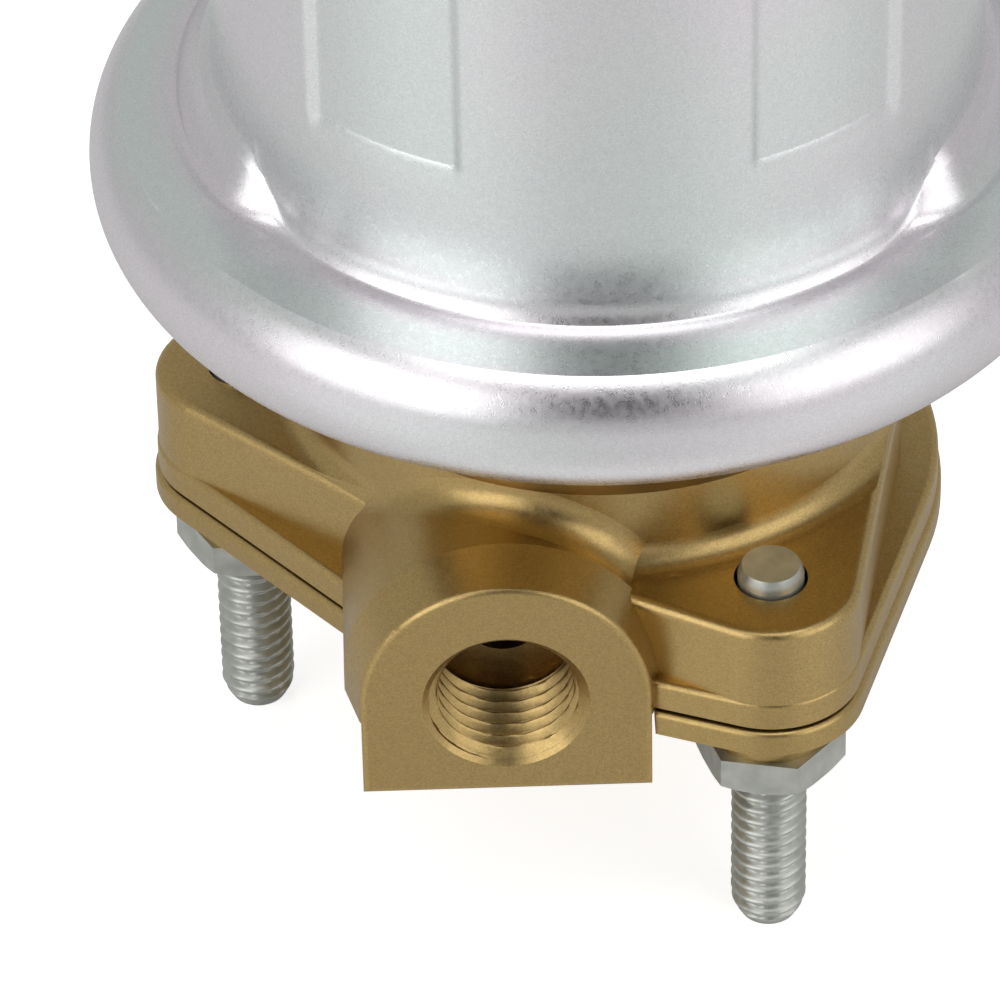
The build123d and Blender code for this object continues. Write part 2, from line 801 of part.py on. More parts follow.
# End of a land: a triangular facet falls from the strip to the foot at the crease, and a flatter one
# lets the shelf sink back to its own level
def land_end(middle, side):
    tip = middle + side * land_tip_half
    strip_in = Vector(*on_circle(land_in_r, tip), land_in_z)
    strip_out = Vector(*on_circle(land_out_r, tip), land_out_z)
    foot = Vector(*on_circle(crease_r, middle + side * land_foot_half), crease_z + 0.3)
    fade = Vector(*on_circle(edge_r, middle + side * land_fade_half), edge_z)
    with BuildPart() as end:
        with BuildSketch(Plane.XY.offset(edge_z - 1)):
            Polygon((0, 0), on_circle(60, tip), on_circle(60, middle + side * land_mid_half), align=None)
        extrude(amount=10)
        for third in (strip_in, fade):
            normal = (strip_out - foot).cross(third - foot)
            if normal.Z < 0:
                normal = -normal
            split(bisect_by=Plane(origin=foot, z_dir=normal), keep=Keep.BOTTOM)
        add(land_ring.part, mode=Mode.INTERSECT)
    return end.part


with BuildPart() as lands:
    add(land_ring.part)
    for middle in (270 + land_turn, 90 + land_turn):
        corners = [(0, 0)]
        for share in (-1, -0.4, 0.4, 1):
            corners.append(on_circle(2 * edge_r, middle + share * land_tip_half))
        with BuildSketch(Plane.XY.offset(edge_z - 2)):
            Polygon(*corners, align=None)
        extrude(amount=14, mode=Mode.SUBTRACT)


# Motor can, turned from one profile: curled rim, shelf, crease, wall and end boss
with BuildPart() as motor_can:
    with BuildSketch(Plane.XZ):
        with BuildLine():
            Polyline((curl_in_r, rim_flange_bottom - 0.1), (curl_in_r, curl_z + 0.5), (curl_r, curl_z))
            CenterArc((rim_r - rim_low_r, rim_mid_z), rim_low_r, -90, 90)
            CenterArc((rim_r - rim_high_r, rim_mid_z), rim_high_r, 0, edge_angle)
            Line((edge_r, edge_z), (shelf_in_r, shelf_in_z))
            TangentArc(
                (shelf_in_r, shelf_in_z), (crease_r, crease_z), tangent=(shelf_in_r - edge_r, shelf_rise)
            )
            TangentArc((flare_r, crease_z + cove_h), (crease_r, crease_z), tangent=(0, -1))
            Line((flare_r, crease_z + cove_h), (can_r, flare_top))
            Line((can_r, flare_top), (can_r, can_top - can_corner))
            RadiusArc((can_r, can_top - can_corner), (can_r - can_corner, can_top), -can_corner)
            Polyline(
                (can_r - can_corner, can_top),
                (can_boss_r + 0.8, can_top),
                (can_boss_r, can_top + 0.8),
                (can_boss_r, boss_top - 0.8),
                (can_boss_r - 0.8, boss_top),
                (0, boss_top),
                (0, boss_top - boss_roof),
                (bush_r, boss_top - boss_roof),
                (bush_r, inner_top),
                (wall_in - can_corner + can_wall, inner_top),
            )
            RadiusArc(
                (wall_in - can_corner + can_wall, inner_top),
                (wall_in, inner_top - can_corner + can_wall),
                can_corner - can_wall,
            )
            Polyline(
                (wall_in, inner_top - can_corner + can_wall),
                (wall_in, shelf_in_z + 1.1),
                (wall_in + 1.0, shelf_under),
                (rim_shoulder_r + 0.1, shelf_under),
                (rim_flange_r + 0.1, rim_shoulder_z + 0.1),
                (rim_flange_r + 0.1, rim_chamfer_z - 0.1),
                (rim_chamfer_r + 0.1, rim_flange_bottom - 0.1),
                (curl_in_r, rim_flange_bottom - 0.1),
            )
        make_face()
    revolve(axis=Axis.Z)
    add(lands.part)
    for middle in (270 + land_turn, 90 + land_turn):
        for side in (-1, 1):
            add(land_end(middle, side))
    # shallow pressed panels with a crisp lower edge
    for middle in (270 - panel_mid, 270 + panel_mid, 90 - panel_mid, 90 + panel_mid):
        panel = ring_sector(
            can_r + 3, can_r - panel_depth, middle + panel_turn, panel_half, panel_bottom, panel_top
        )
        add(panel, mode=Mode.SUBTRACT)
    with Locations((-terminal_x, 0, 0), (terminal_x, 0, 0)):
        post(terminal_hole_r, inner_top - 1, can_top + 1, Mode.SUBTRACT)
finish(motor_can.part, "motor_can")

finish(plain_ring(rim_shoulder_r - 0.4, neck_r + 0.5, rim_flange_top, shelf_under), "can_seal_ring")


# Terminals through the can top: insulating bushes, studs and nuts
with BuildPart() as terminal_insulators:
    with Locations((-terminal_x, 0, 0), (terminal_x, 0, 0)):
        post(insulator_r, can_top, can_top + insulator_t)
        post(terminal_hole_r - fit_gap, inner_top - 0.5, can_top + 0.5)
        post(insulator_r, inner_top - insulator_t, inner_top)
        post(terminal_r + fit_gap, card_z, terminal_top, Mode.SUBTRACT)
finish(terminal_insulators.part, "terminal_insulators")

with BuildPart() as terminal_studs:
    with Locations((-terminal_x, 0, 0), (terminal_x, 0, 0)):
        post(terminal_grip_r, terminal_bottom, can_top + insulator_t + terminal_nut_h + 0.1)
        post(terminal_r, can_top + insulator_t + terminal_nut_h, terminal_top)
    chamfer(terminal_studs.faces().filter_by(lambda f: f.center().Z > terminal_top - 0.1).edges(), 0.5)
finish(terminal_studs.part, "terminal_studs")

with BuildPart() as terminal_nuts:
    with Locations((-terminal_x, 0, can_top + insulator_t), (terminal_x, 0, can_top + insulator_t)):
        add(hex_nut(terminal_nut_flats, terminal_nut_h, terminal_r + fit_gap, 0))
finish(terminal_nuts.part, "terminal_nuts")
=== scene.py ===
import json
import math

import bmesh
import bpy
import numpy as np
from mathutils import Matrix, Vector


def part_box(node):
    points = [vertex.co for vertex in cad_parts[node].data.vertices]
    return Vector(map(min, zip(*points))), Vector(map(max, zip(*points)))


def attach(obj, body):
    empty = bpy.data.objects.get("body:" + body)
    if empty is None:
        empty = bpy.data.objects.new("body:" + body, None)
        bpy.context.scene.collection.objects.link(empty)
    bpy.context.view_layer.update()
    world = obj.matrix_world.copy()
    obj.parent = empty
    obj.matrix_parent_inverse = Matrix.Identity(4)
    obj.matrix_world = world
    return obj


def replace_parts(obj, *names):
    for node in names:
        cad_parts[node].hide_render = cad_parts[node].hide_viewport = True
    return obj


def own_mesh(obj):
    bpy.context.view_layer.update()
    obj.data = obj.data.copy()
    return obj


# Electric fuel pump: a silver motor can on a gold-coated pump casting. The scene is in metres, +Z up.
# The shapes made here are worked out in millimetres, and skin() turns them into metres.
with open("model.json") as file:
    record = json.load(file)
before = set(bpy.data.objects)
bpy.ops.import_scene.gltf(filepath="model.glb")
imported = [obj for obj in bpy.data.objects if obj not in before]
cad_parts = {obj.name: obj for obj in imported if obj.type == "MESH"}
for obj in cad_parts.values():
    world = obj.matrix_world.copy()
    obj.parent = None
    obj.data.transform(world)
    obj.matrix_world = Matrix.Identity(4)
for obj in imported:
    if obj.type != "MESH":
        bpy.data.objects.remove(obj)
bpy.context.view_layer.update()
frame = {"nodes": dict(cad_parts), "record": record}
nodes = frame["nodes"]


# Camera: long lens, looking down at the front port
camera_data = bpy.data.cameras.new("camera")
camera_data.sensor_width = 36
camera_data.lens = 266.35
camera_data.clip_end = 10
camera = bpy.data.objects.new("camera", camera_data)
bpy.context.scene.collection.objects.link(camera)
camera.matrix_world = Matrix(
    (
        (0.99945669, 0.03099781, -0.01120058, -0.015888),
        (-0.02837567, 0.63637369, -0.77085884, -0.489531),
        (-0.01676718, 0.77075785, 0.63690753, 0.427246),
        (0, 0, 0, 1),
    )
)
bpy.context.scene.camera = camera
bpy.context.scene.view_settings.view_transform = "Standard"


# Material of each slot of the record
finish_of = {}


def new_node(tree, kind, **settings):
    made = tree.nodes.new(kind)
    for key, value in settings.items():
        setattr(made, key, value)
    return made


class Shader:
    def __init__(self, slot, colour, metallic, roughness):
        self.material = bpy.data.materials.new(slot)
        self.material.use_nodes = True
        self.tree = self.material.node_tree
        self.bsdf = self.tree.nodes["Principled BSDF"]
        self.bsdf.inputs["Base Color"].default_value = (*colour, 1)
        self.bsdf.inputs["Metallic"].default_value = metallic
        self.bsdf.inputs["Roughness"].default_value = roughness
        self.place = self.node("ShaderNodeTexCoord").outputs["Object"]
        finish_of[slot] = self.material

    def node(self, kind, **settings):
        return new_node(self.tree, kind, **settings)

    def link(self, a, b):
        self.tree.links.new(a, b)

    # Noise whose grains are about `size` metres across, as a value spread between low and high
    def noise(self, size, low, high, detail=2.0, stretch=None):
        place = self.place
        if stretch:
            mapping = self.node("ShaderNodeMapping")
            mapping.inputs["Scale"].default_value = stretch
            self.link(place, mapping.inputs["Vector"])
            place = mapping.outputs["Vector"]
        noise = self.node("ShaderNodeTexNoise")
        noise.inputs["Scale"].default_value = 1 / size
        noise.inputs["Detail"].default_value = detail
        self.link(place, noise.inputs["Vector"])
        spread = self.node("ShaderNodeMapRange")
        spread.inputs["From Min"].default_value = 0.3
        spread.inputs["From Max"].default_value = 0.7
        spread.inputs["To Min"].default_value = low
        spread.inputs["To Max"].default_value = high
        self.link(noise.outputs["Fac"], spread.inputs["Value"])
        return spread.outputs["Result"]

    # Random value per metal flake
    def flakes(self, size):
        cells = self.node("ShaderNodeTexVoronoi")
        cells.inputs["Scale"].default_value = 1 / size
        self.link(self.place, cells.inputs["Vector"])
        parts = self.node("ShaderNodeSeparateColor")
        self.link(cells.outputs["Color"], parts.inputs["Color"])
        return parts.outputs["Red"]

    # Waves of the colour blend from the Z axis outwards, a little uneven: 0 to 1 and back per `width`
    def rings(self, first, width):
        flat = self.node("ShaderNodeVectorMath", operation="MULTIPLY")
        flat.inputs[1].default_value = (1, 1, 0)
        self.link(self.place, flat.inputs[0])
        length = self.node("ShaderNodeVectorMath", operation="LENGTH")
        self.link(flat.outputs["Vector"], length.inputs[0])
        turn = self.math("MULTIPLY", length.outputs["Value"], 2 * math.pi / width)
        turn = self.math("SUBTRACT", turn, 2 * math.pi * first / width)
        turn = self.math("ADD", turn, self.noise(0.030, -1.2, 1.2, detail=1.0))
        return self.math("ADD", self.math("MULTIPLY", self.math("COSINE", turn, 0), 0.5), 0.5)

    def blend_colour(self, factor, a, b):
        mix = self.node("ShaderNodeMix", data_type="RGBA")
        for name, value in (("A", a), ("B", b)):
            if isinstance(value, tuple):
                mix.inputs[name].default_value = (*value, 1)
            else:
                self.link(value, mix.inputs[name])
        self.link(factor, mix.inputs["Factor"])
        return mix.outputs["Result"]

    def math(self, operation, a, b):
        made = self.node("ShaderNodeMath", operation=operation)
        for index, value in enumerate((a, b)):
            if isinstance(value, (int, float)):
                made.inputs[index].default_value = value
            else:
                self.link(value, made.inputs[index])
        return made.outputs["Value"]

    def colour(self, value):
        self.link(value, self.bsdf.inputs["Base Color"])

    def roughness(self, value):
        self.link(value, self.bsdf.inputs["Roughness"])

    def bump(self, height, depth):
        bump = self.node("ShaderNodeBump")
        bump.inputs["Strength"].default_value = 1
        bump.inputs["Distance"].default_value = depth
        self.link(height, bump.inputs["Height"])
        self.link(bump.outputs["Normal"], self.bsdf.inputs["Normal"])

    # Surface of a coat: the flakes stand out on a slightly uneven ground
    def coat_bump(self, flake, depth):
        fine = self.noise(flake * 0.9, 0.0, 1.0, detail=1.0)
        self.bump(self.math("ADD", fine, self.noise(coat_unevenness, 0.0, 0.5)), depth)


coat_unevenness = 0.0006


# Satin metallic coat: fine flakes that differ in shade, over a broad change of tint
def flake_coat(slot, dark, light, tint, roughness, flake, depth):
    shader = Shader(slot, light, 1.0, roughness)
    grain = shader.blend_colour(shader.flakes(flake), dark, light)
    broad = shader.noise(0.022, 0.0, 1.0, detail=1.0)
    shader.colour(shader.blend_colour(shader.math("MULTIPLY", broad, 0.35), grain, tint))
    shader.roughness(shader.noise(coat_unevenness, roughness - 0.04, roughness + 0.05))
    shader.coat_bump(flake, depth)


# The same flakes, with faint green and pink rings as on a thin passivated layer
def ringed_coat(slot, dark, green, pink, roughness, flake, depth, first_ring, ring_width):
    shader = Shader(slot, green, 1.0, roughness)
    tint = shader.blend_colour(shader.rings(first_ring, ring_width), green, pink)
    shader.colour(shader.blend_colour(shader.math("MULTIPLY", shader.flakes(flake), 0.5), tint, dark))
    shader.roughness(shader.noise(coat_unevenness, roughness - 0.03, roughness + 0.05))
    shader.coat_bump(flake, depth)


def plain_metal(slot, dark, light, roughness, grain, depth, stretch=None, metallic=1.0):
    shader = Shader(slot, light, metallic, roughness)
    shader.colour(shader.blend_colour(shader.noise(grain * 6, 0.0, 1.0), dark, light))
    shader.roughness(shader.noise(grain * 3, roughness - 0.05, roughness + 0.07))
    shader.bump(shader.noise(grain, 0.0, 1.0, stretch=stretch), depth)


# Plastic, rubber, paper, carbon or ferrite
def moulded(slot, dark, light, roughness, grain, depth):
    shader = Shader(slot, light, 0.0, roughness)
    shader.colour(shader.blend_colour(shader.noise(grain * 8, 0.0, 1.0), dark, light))
    shader.roughness(shader.noise(grain * 4, roughness - 0.05, roughness + 0.08))
    shader.bump(shader.noise(grain, 0.0, 1.0), depth)


ringed_coat(
    "can_silver",
    dark=(0.68, 0.69, 0.69),
    green=(0.79, 0.87, 0.84),
    pink=(0.87, 0.82, 0.86),
    roughness=0.28,
    flake=0.00013,
    depth=0.000005,
    first_ring=0.0335,
    ring_width=0.008,
)
flake_coat("cast_gold", (0.42, 0.295, 0.12), (0.565, 0.405, 0.17), (0.46, 0.32, 0.125), 0.32, 0.00011, 0.0000035)
flake_coat("plate_gold", (0.41, 0.29, 0.115), (0.545, 0.39, 0.16), (0.45, 0.315, 0.12), 0.32, 0.00011, 0.0000035)
plain_metal("zinc_steel", (0.44, 0.46, 0.42), (0.60, 0.61, 0.57), 0.34, 0.0003, 0.000003, metallic=0.75)
plain_metal("dark_steel", (0.30, 0.30, 0.31), (0.45, 0.45, 0.46), 0.32, 0.0003, 0.000004)
plain_metal("lamination", (0.20, 0.20, 0.21), (0.32, 0.32, 0.33), 0.42, 0.0005, 0.00002, stretch=(0.2, 0.2, 1))
plain_metal("copper", (0.45, 0.16, 0.06), (0.70, 0.30, 0.14), 0.32, 0.0006, 0.00004, stretch=(1, 1, 0.3))
plain_metal("comm_copper", (0.60, 0.30, 0.17), (0.80, 0.45, 0.28), 0.25, 0.0003, 0.000005)
plain_metal("bronze", (0.36, 0.22, 0.09), (0.52, 0.34, 0.15), 0.45, 0.0002, 0.00001)
moulded("ferrite", (0.02, 0.02, 0.022), (0.05, 0.05, 0.054), 0.6, 0.0003, 0.00001)
moulded("carbon", (0.012, 0.012, 0.013), (0.03, 0.03, 0.032), 0.45, 0.0002, 0.00001)
moulded("insulation", (0.022, 0.014, 0.009), (0.05, 0.032, 0.02), 0.42, 0.0004, 0.00001)
moulded("gasket", (0.015, 0.013, 0.010), (0.035, 0.03, 0.024), 0.7, 0.0003, 0.00002)
moulded("seal_rubber", (0.012, 0.012, 0.012), (0.025, 0.025, 0.025), 0.55, 0.0004, 0.00001)

for part in frame["record"]["subparts"]:
    for place in nodes[part["node"]].material_slots:
        place.material = finish_of[part["material_slot"]]


# Closed mesh from rings of points in mm. A tube's last ring joins its first, otherwise the ends are capped.
def skin(name, rings, slot, tube=False):
    rows, around = rings.shape[:2]
    faces = []
    for i in range(rows if tube else rows - 1):
        low, high = i * around, (i + 1) % rows * around
        for k in range(around):
            j = (k + 1) % around
            faces.append((low + k, low + j, high + j, high + k))
    if not tube:
        faces.append(tuple(range(around)))
        faces.append(tuple(range((rows - 1) * around, rows * around)))
    data = bpy.data.meshes.new(name)
    data.from_pydata((rings.reshape(-1, 3) / 1000).tolist(), [], faces)
    mesh = bmesh.new()
    mesh.from_mesh(data)
    bmesh.ops.recalc_face_normals(mesh, faces=mesh.faces)
    mesh.to_mesh(data)
    mesh.free()
    data.shade_smooth()
    data.set_sharp_from_angle(angle=math.radians(32))
    data.materials.append(finish_of[slot])
    piece = bpy.data.objects.new(name, data)
    bpy.context.scene.collection.objects.link(piece)
    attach(piece, "housing")
    return piece


# Points round an upright axis. r and z are one value or one per direction.
def round_axis(x, y, r, phase, z):
    return np.stack((x + r * np.cos(phase), y + r * np.sin(phase), z + 0 * phase), 1)


def arc(mid_r, mid_z, radius, start, end, steps):
    turns = np.radians(np.linspace(start, end, steps + 1))
    return [(mid_r + radius * math.cos(t), mid_z + radius * math.sin(t)) for t in turns]


# Arc that leaves `start` in direction `heading` (degrees) and reaches `end`
def tangent_arc(start, heading, end, steps):
    dr, dz = end[0] - start[0], end[1] - start[1]
    chord = math.degrees(math.atan2(dz, dr))
    turn = (chord - heading + 180) % 360 - 180
    radius = math.hypot(dr, dz) / (2 * math.sin(math.radians(abs(turn))))
    side = 90 if turn > 0 else -90
    mid_r = start[0] + radius * math.cos(math.radians(heading + side))
    mid_z = start[1] + radius * math.sin(math.radians(heading + side))
    return arc(mid_r, mid_z, radius, heading - side, heading - side + 2 * turn, steps)


def step(value, low, high):
    share = np.clip((value - low) / (high - low), 0, 1)
    return share * share * (3 - 2 * share)


def soft_max(a, b, blend):
    gap = np.clip(blend - np.abs(a - b), 0, None)
    return np.maximum(a, b) + gap * gap / (4 * blend)


def soft_min(a, b, blend):
    return -soft_max(-a, -b, blend)


# Motor can: radii and heights of its outline. The rim is one roll, finer than in the part's source.
around = 512
azimuth = np.radians(np.arange(around) * 360 / around)
can_r = 31.5
flare_r = can_r + 0.15
flare_top = 77.5
cove_h = 2.0
crease_r = can_r + 0.8
crease_z = 67.119
shelf_in_r = crease_r + 0.4
shelf_in_z = crease_z - 0.25
roll_r = 6.4
roll_mid = (35.6, 61.65)
edge_angle = 58.7
curl_angle = -70
edge = arc(*roll_mid, roll_r, edge_angle, edge_angle, 1)[0]

# Raised lands left and right: corners of the section, angles from the left or right at which the top,
# the foot and the faded end of the slope lie, and how far the surfaces blend into each other
land_in = (can_r + 1.1, shelf_in_z + 4.1)
land_out = (roll_mid[0], roll_mid[1] + roll_r)
land_groove = [(35.3, 68.03), (35.05, 67.92), (34.8, 67.84), (34.55, 67.85), (34.3, 68.03)]
land_middle = 267.0
land_tip, land_foot, land_fade, land_mid = 59.0, 52.0, 46.0, 30.0
slope_blend, slope_join, land_join = 2.2, 1.2, 0.6
no_land, endless = 0, 99

# Pressed panels of the wall, with a crisp upper edge and a long ramp below
panel_low, panel_high = 80.3, 128.0
panel_half, panel_depth, panel_ramp = 12.9, 0.5, 4.2
panel_middles = (235.0, 303.6, 55.0, 123.6)


# Angle (degrees, rising) and distance of points seen from `middle`
def polar(points, middle):
    points = np.array(points) - middle
    angle = np.degrees(np.arctan2(points[:, 1], points[:, 0]))
    order = np.argsort(angle)
    return angle[order], np.hypot(points[:, 0], points[:, 1])[order]


# Foot of the wall, as distances along rays from a ring inside the metal: wall, cove, crease and shelf, and
# over them the lands with their sloping ends
def foot_rings():
    middle = np.array((31.0, 65.9))
    dish = math.degrees(math.atan2(shelf_in_z - edge[1], shelf_in_r - edge[0]))
    cove = tangent_arc((flare_r, crease_z + cove_h), -90, (crease_r, crease_z), 12)
    bend = tangent_arc((shelf_in_r, shelf_in_z), dish, (crease_r, crease_z), 8)
    plain = [(can_r, flare_top)] + cove + bend[::-1] + [edge]
    raised = arc(*roll_mid, roll_r, edge_angle, 90, 16) + land_groove
    raised += [land_in, (flare_r - 0.1, land_in[1] + 1.1), (flare_r - 0.3, flare_top)]

    # ray angles: through each corner, evenly over the rest, and close together at the land's corners
    def angle_of(point):
        return polar([point], middle)[0]

    spots = [angle_of(point) for point in plain]
    spots.append(np.linspace(8.5, 88, 34))
    spots.append(angle_of(land_out) + np.linspace(-2, 10, 13))
    spots.append(angle_of(land_in) + np.linspace(-4, 4, 7))
    spots = np.concatenate(spots)
    lowest, highest = angle_of(edge)[0], angle_of((can_r, flare_top))[0]
    spots = np.unique(np.round(spots[(spots >= lowest) & (spots <= highest)], 2))[::-1]

    # straight lines between the corner points, read as distance along each ray
    def reach(points):
        dense = []
        for (r0, z0), (r1, z1) in zip(points, points[1:]):
            for share in np.linspace(0, 1, 40):
                dense.append((r0 + (r1 - r0) * share, z0 + (z1 - z0) * share))
        return np.interp(spots, *polar(dense, middle))

    plain = reach(plain)
    raised = reach(raised)

    # the sloping ends are two planes through one foot point
    def corner(radius, angle, height):
        return np.array((radius * math.cos(math.radians(angle)), radius * math.sin(math.radians(angle)), height))

    strip_in = corner(land_in[0], land_tip, land_in[1])
    strip_out = corner(land_out[0], land_tip, land_out[1])
    foot = corner(crease_r, land_foot, crease_z + 0.3)
    fade = corner(edge[0], land_fade, edge[1])
    normals = [np.cross(strip_out - foot, third - foot) for third in (strip_in, fade)]
    normals = [normal * math.copysign(1, normal[2]) for normal in normals]

    side = np.abs((np.degrees(azimuth) - land_middle + 90) % 180 - 90)
    start = round_axis(0, 0, middle[0], np.radians(side), middle[1])
    rings = []
    for index, angle in enumerate(np.radians(spots)):
        ray = round_axis(0, 0, math.cos(angle), np.radians(side), math.sin(angle))
        slopes = []
        for normal in normals:
            towards = ray @ normal
            cut = np.where(towards > 0, -((start - foot) @ normal) / np.maximum(towards, 1e-6), endless)
            slopes.append(soft_min(raised[index], np.clip(cut, 0, endless), slope_blend))
        land = np.where(side < land_mid, no_land, soft_max(*slopes, slope_join))
        distance = soft_max(plain[index], land, land_join)
        rings.append((middle[0] + distance * math.cos(angle), middle[1] + distance * math.sin(angle)))
    return rings


# The whole can, from the end boss down to the curl of the rim and back up inside
def can_rings():
    rings = [(8.7, 143.5), (9.05, 143.42), (9.3, 143.2), (9.45, 142.9), (9.5, 142.5), (9.5, 138.9)]
    rings += [(9.6, 138.5), (9.85, 138.2), (10.3, 138.0), (12.0, 138.0), (24.0, 138.0)]
    rings += arc(24.5, 131.0, 7.0, 90, 0, 14)
    for height in (130.0, 128.4, 128.25, 128.1, 128.0, 127.9, 127.75, 127.6, 126.0, 116.0, 104.0, 92.0, 84.0):
        rings.append((can_r, height))
    for height in (81.0, 80.5, 80.36, 80.3, 80.2, 80.0, 79.7, 79.4, 79.1, 78.8, 78.5, 78.2, 77.85):
        rings.append((can_r, height))
    rings += foot_rings()
    rings += arc(*roll_mid, roll_r, edge_angle, curl_angle, 32)[1:]
    rings += [(37.45, 55.66), (37.22, 55.86), (37.14, 56.2), (37.14, 57.5), (38.85, 57.5), (40.55, 60.5)]
    rings += [(40.55, 62.3), (38.0, 65.2), (31.3, 65.2), (30.3, 67.9), (30.3, 131.0)]
    rings += arc(24.5, 131.0, 5.8, 0, 90, 8)[1:]
    rings += [(7.0, 136.8), (7.0, 142.0)]

    # panels: only where the radius is that of the outer wall
    sunk = np.zeros(around)
    for middle in panel_middles:
        off = np.abs((np.degrees(azimuth) - middle + 180) % 360 - 180)
        sunk = np.maximum(sunk, 1 - step(off, panel_half - 1.2, panel_half + 0.6))
    out = []
    for r, z in rings:
        ramp = np.clip((z - panel_low + panel_ramp) / panel_ramp, 0, 1) ** 4
        level = ramp * (1 - step(z, panel_high - 0.3, panel_high + 0.3))
        r = r - panel_depth * sunk * level * (r > can_r - 0.1)
        out.append(round_axis(0, 0, r, azimuth, z))
    return np.array(out)


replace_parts(skin("can_shell", can_rings(), "can_silver"), "motor_can")


# Mounting stud: a helix on the lower length, a plain shank above, both ends chamfered
def stud_rings(x, y, turn):
    steps = 64
    pitch, crest, root, shank, tip = 1.27, 3.175, 2.62, 2.75, 2.35
    thread_top, tip_height = 26.2, 2.4
    shares = (0.0, 0.10, 0.36, 0.44, 0.52, 0.60, 0.88, 1.0)
    radii = (root, root, crest - 0.07, crest, crest, crest - 0.07, root, root)
    angles = np.arange(steps) / steps
    rows = []
    for height in np.arange(0, thread_top + 0.01, pitch / 12):
        r = np.interp((height / pitch - angles) % 1.0, shares, radii)
        r = root + (r - root) * min(1.0, (thread_top - height) / pitch)
        bevel = tip + (crest + 0.05 - tip) * math.sin(min(1.0, height / tip_height) * math.pi / 2)
        rows.append((np.minimum(r, bevel), height))
    rows += [(shank, 26.6), (shank, 37.0), (shank - 0.1, 37.4), (2.4, 37.9)]
    return np.array([round_axis(x, y, r, 2 * math.pi * angles + turn, z) for r, z in rows])


stud_circle_r = 30.4
for name, angle in (("stud_thread_left", 175), ("stud_thread_right", 295), ("stud_thread_back", 55)):
    turn = math.radians(angle)
    rings = stud_rings(stud_circle_r * math.cos(turn), stud_circle_r * math.sin(turn), turn)
    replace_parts(skin(name, rings, "zinc_steel"), "mounting_studs")


# Thread of a port, as a lining in the plain hole of the casting: countersunk, then a helix
def port_thread_rings(side):
    steps = 128
    port_x, port_z, face = -9.1, 28.5, 33.1
    pitch, crest, root, mouth, outer = 1.411, 5.65, 6.45, 6.9, 6.7
    start, length = 0.42, 8.2
    shares = (0.0, 0.06, 0.42, 0.47, 0.53, 0.58, 0.94, 1.0)
    radii = (root, root, crest + 0.06, crest, crest, crest + 0.06, root, root)
    angles = np.arange(steps) / steps
    rows = [(outer, length), (outer, start)]
    for depth in np.arange(start, length + 0.01, pitch / 14):
        r = np.interp((depth / pitch + angles) % 1.0, shares, radii)
        rows.append((np.minimum(np.maximum(r, mouth - depth), outer - 0.2), depth))
    phase = 2 * math.pi * angles
    rings = []
    for r, depth in rows:
        x = port_x - side * r * np.cos(phase)
        y = np.full(steps, side * (face - depth))
        rings.append(np.stack((x, y, port_z + r * np.sin(phase)), 1))
    return np.array(rings)


skin("port_thread_front", port_thread_rings(-1), "cast_gold", tube=True)
skin("port_thread_rear", port_thread_rings(1), "cast_gold", tube=True)


# Spring of round wire in the space of its node. The end that `axis` points to is fixed.
def spring(name, node, axis, turns):
    wire_r = 0.35
    low, high = (np.array(corner) * 1000 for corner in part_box(node))
    axis = np.array(axis, float)
    length = abs((high - low) @ axis)
    coil_r = (high - low)[1] / 2 - wire_r
    moving = (low + high) / 2 - axis * length / 2
    side = np.array((0.0, 1.0, 0.0))
    third = np.cross(axis, side)
    rings = []
    for share in np.linspace(0, 1, turns * 24 + 1):
        turn = 2 * math.pi * turns * share
        outward = side * math.cos(turn) + third * math.sin(turn)
        wire = moving + axis * (wire_r + (length - 2 * wire_r) * share) + outward * coil_r
        around_wire = np.arange(12) * math.pi / 6
        rings.append([wire + wire_r * (outward * math.cos(t) + axis * math.sin(t)) for t in around_wire])
    piece = skin(name, np.array(rings), "dark_steel")
    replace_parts(piece, node)
    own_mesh(piece)


spring("brush_coil_left", "brush_spring_left", (-1, 0, 0), 3)
spring("brush_coil_right", "brush_spring_right", (1, 0, 0), 3)
spring("relief_coil", "relief_spring", (0, 0, 1), 4)


# Light levels of the room and the floor, as reflected, and as the camera sees the floor
room_level = 0.50
dark_level = 0.04
floor_glow = 0.03
floor_gloss = 0.16
floor_gloss_roughness = 0.35
floor_shade = 0.64
floor_seen = 0.72

# Direction of the dark patch, above the horizon in front, and its inner and outer half angle, in degrees
dark_elevation = 36.0
dark_inner = 12.0
dark_outer = 27.0


# Floor: pale and matt, with a slight gloss. It looks white to the camera and keeps the soft shadow.
floor_mesh = bpy.data.meshes.new("floor")
floor_mesh.from_pydata([(-3, -3, 0), (3, -3, 0), (3, 3, 0), (-3, 3, 0)], [], [(0, 1, 2, 3)])
floor = bpy.data.objects.new("floor", floor_mesh)
bpy.context.scene.collection.objects.link(floor)
floor_material = bpy.data.materials.new("floor")
floor_material.use_nodes = True
tree = floor_material.node_tree
tree.nodes.clear()
rays = new_node(tree, "ShaderNodeLightPath")
seen = new_node(tree, "ShaderNodeMath", operation="MULTIPLY")
seen.inputs[1].default_value = floor_seen
shiny = new_node(tree, "ShaderNodeMath", operation="MULTIPLY_ADD")
shiny.inputs[1].default_value = floor_glow
glow = new_node(tree, "ShaderNodeEmission")
diffuse = new_node(tree, "ShaderNodeBsdfDiffuse")
diffuse.inputs["Color"].default_value = (floor_shade, floor_shade, floor_shade, 1)
sheen = new_node(tree, "ShaderNodeBsdfAnisotropic")
sheen.inputs["Color"].default_value = (floor_gloss, floor_gloss, floor_gloss, 1)
sheen.inputs["Roughness"].default_value = floor_gloss_roughness
matt = new_node(tree, "ShaderNodeAddShader")
whole = new_node(tree, "ShaderNodeAddShader")
output = new_node(tree, "ShaderNodeOutputMaterial")
tree.links.new(rays.outputs["Is Camera Ray"], seen.inputs[0])
tree.links.new(rays.outputs["Is Glossy Ray"], shiny.inputs[0])
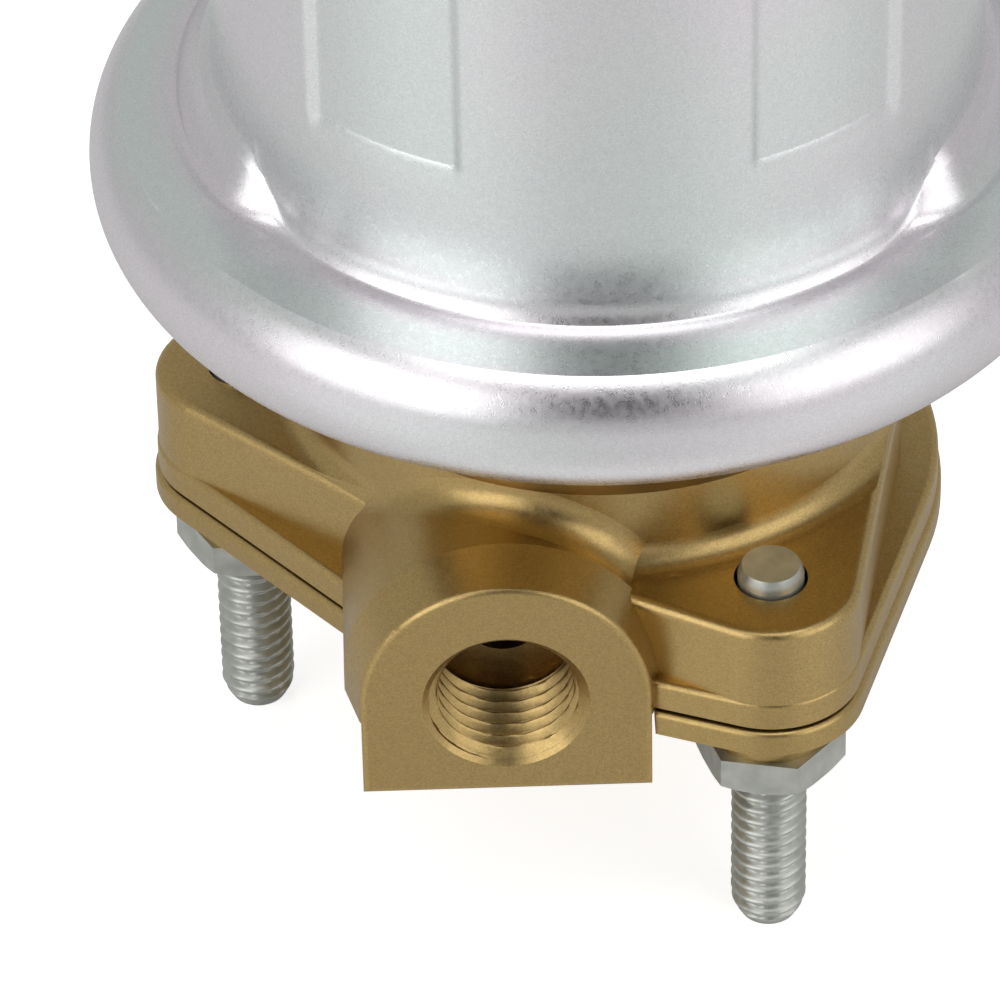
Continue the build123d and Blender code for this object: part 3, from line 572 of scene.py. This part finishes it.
tree.links.new(seen.outputs[0], shiny.inputs[2])
tree.links.new(shiny.outputs[0], glow.inputs["Strength"])
tree.links.new(diffuse.outputs[0], matt.inputs[0])
tree.links.new(glow.outputs[0], matt.inputs[1])
tree.links.new(matt.outputs[0], whole.inputs[0])
tree.links.new(sheen.outputs[0], whole.inputs[1])
tree.links.new(whole.outputs[0], output.inputs["Surface"])
floor_mesh.materials.append(floor_material)


# World: white behind the object. Reflections see a soft grey room that is dark where the camera stood.
world = bpy.data.worlds.new("studio")
bpy.context.scene.world = world
world.use_nodes = True
tree = world.node_tree
tree.nodes.clear()
direction = new_node(tree, "ShaderNodeTexCoord")
towards = new_node(tree, "ShaderNodeVectorMath", operation="DOT_PRODUCT")
dark_height = math.radians(dark_elevation)
towards.inputs[1].default_value = (0, -math.cos(dark_height), math.sin(dark_height))
fade = new_node(tree, "ShaderNodeMapRange", interpolation_type="SMOOTHSTEP")
fade.inputs["From Min"].default_value = math.cos(math.radians(dark_outer))
fade.inputs["From Max"].default_value = math.cos(math.radians(dark_inner))
fade.inputs["To Min"].default_value = room_level
fade.inputs["To Max"].default_value = dark_level
room = new_node(tree, "ShaderNodeBackground")
room.inputs["Color"].default_value = (1, 1, 1, 1)
back = new_node(tree, "ShaderNodeBackground")
back.inputs["Color"].default_value = (1, 1, 1, 1)
back.inputs["Strength"].default_value = 1.0
rays = new_node(tree, "ShaderNodeLightPath")
choose = new_node(tree, "ShaderNodeMixShader")
output = new_node(tree, "ShaderNodeOutputWorld")
tree.links.new(direction.outputs["Generated"], towards.inputs[0])
tree.links.new(towards.outputs["Value"], fade.inputs["Value"])
tree.links.new(fade.outputs["Result"], room.inputs["Strength"])
tree.links.new(rays.outputs["Is Camera Ray"], choose.inputs[0])
tree.links.new(room.outputs[0], choose.inputs[1])
tree.links.new(back.outputs[0], choose.inputs[2])
tree.links.new(choose.outputs[0], output.inputs["Surface"])


# Lamp aimed at the middle of the object
def softbox(name, place, width, height, power):
    target = Vector((0, 0, 0.06))
    data = bpy.data.lights.new(name, "AREA")
    data.shape = "RECTANGLE"
    data.size = width
    data.size_y = height
    data.energy = power
    lamp = bpy.data.objects.new(name, data)
    bpy.context.scene.collection.objects.link(lamp)
    lamp.location = place
    lamp.rotation_euler = (target - Vector(place)).to_track_quat("-Z", "Y").to_euler()


softbox("softbox_left", (-0.68, -0.62, 0.50), 0.8, 0.8, 2.8)
softbox("softbox_right", (0.72, -0.56, 0.50), 0.8, 0.8, 2.0)
softbox("softbox_top", (0, -0.25, 1.0), 0.9, 0.4, 2.2)
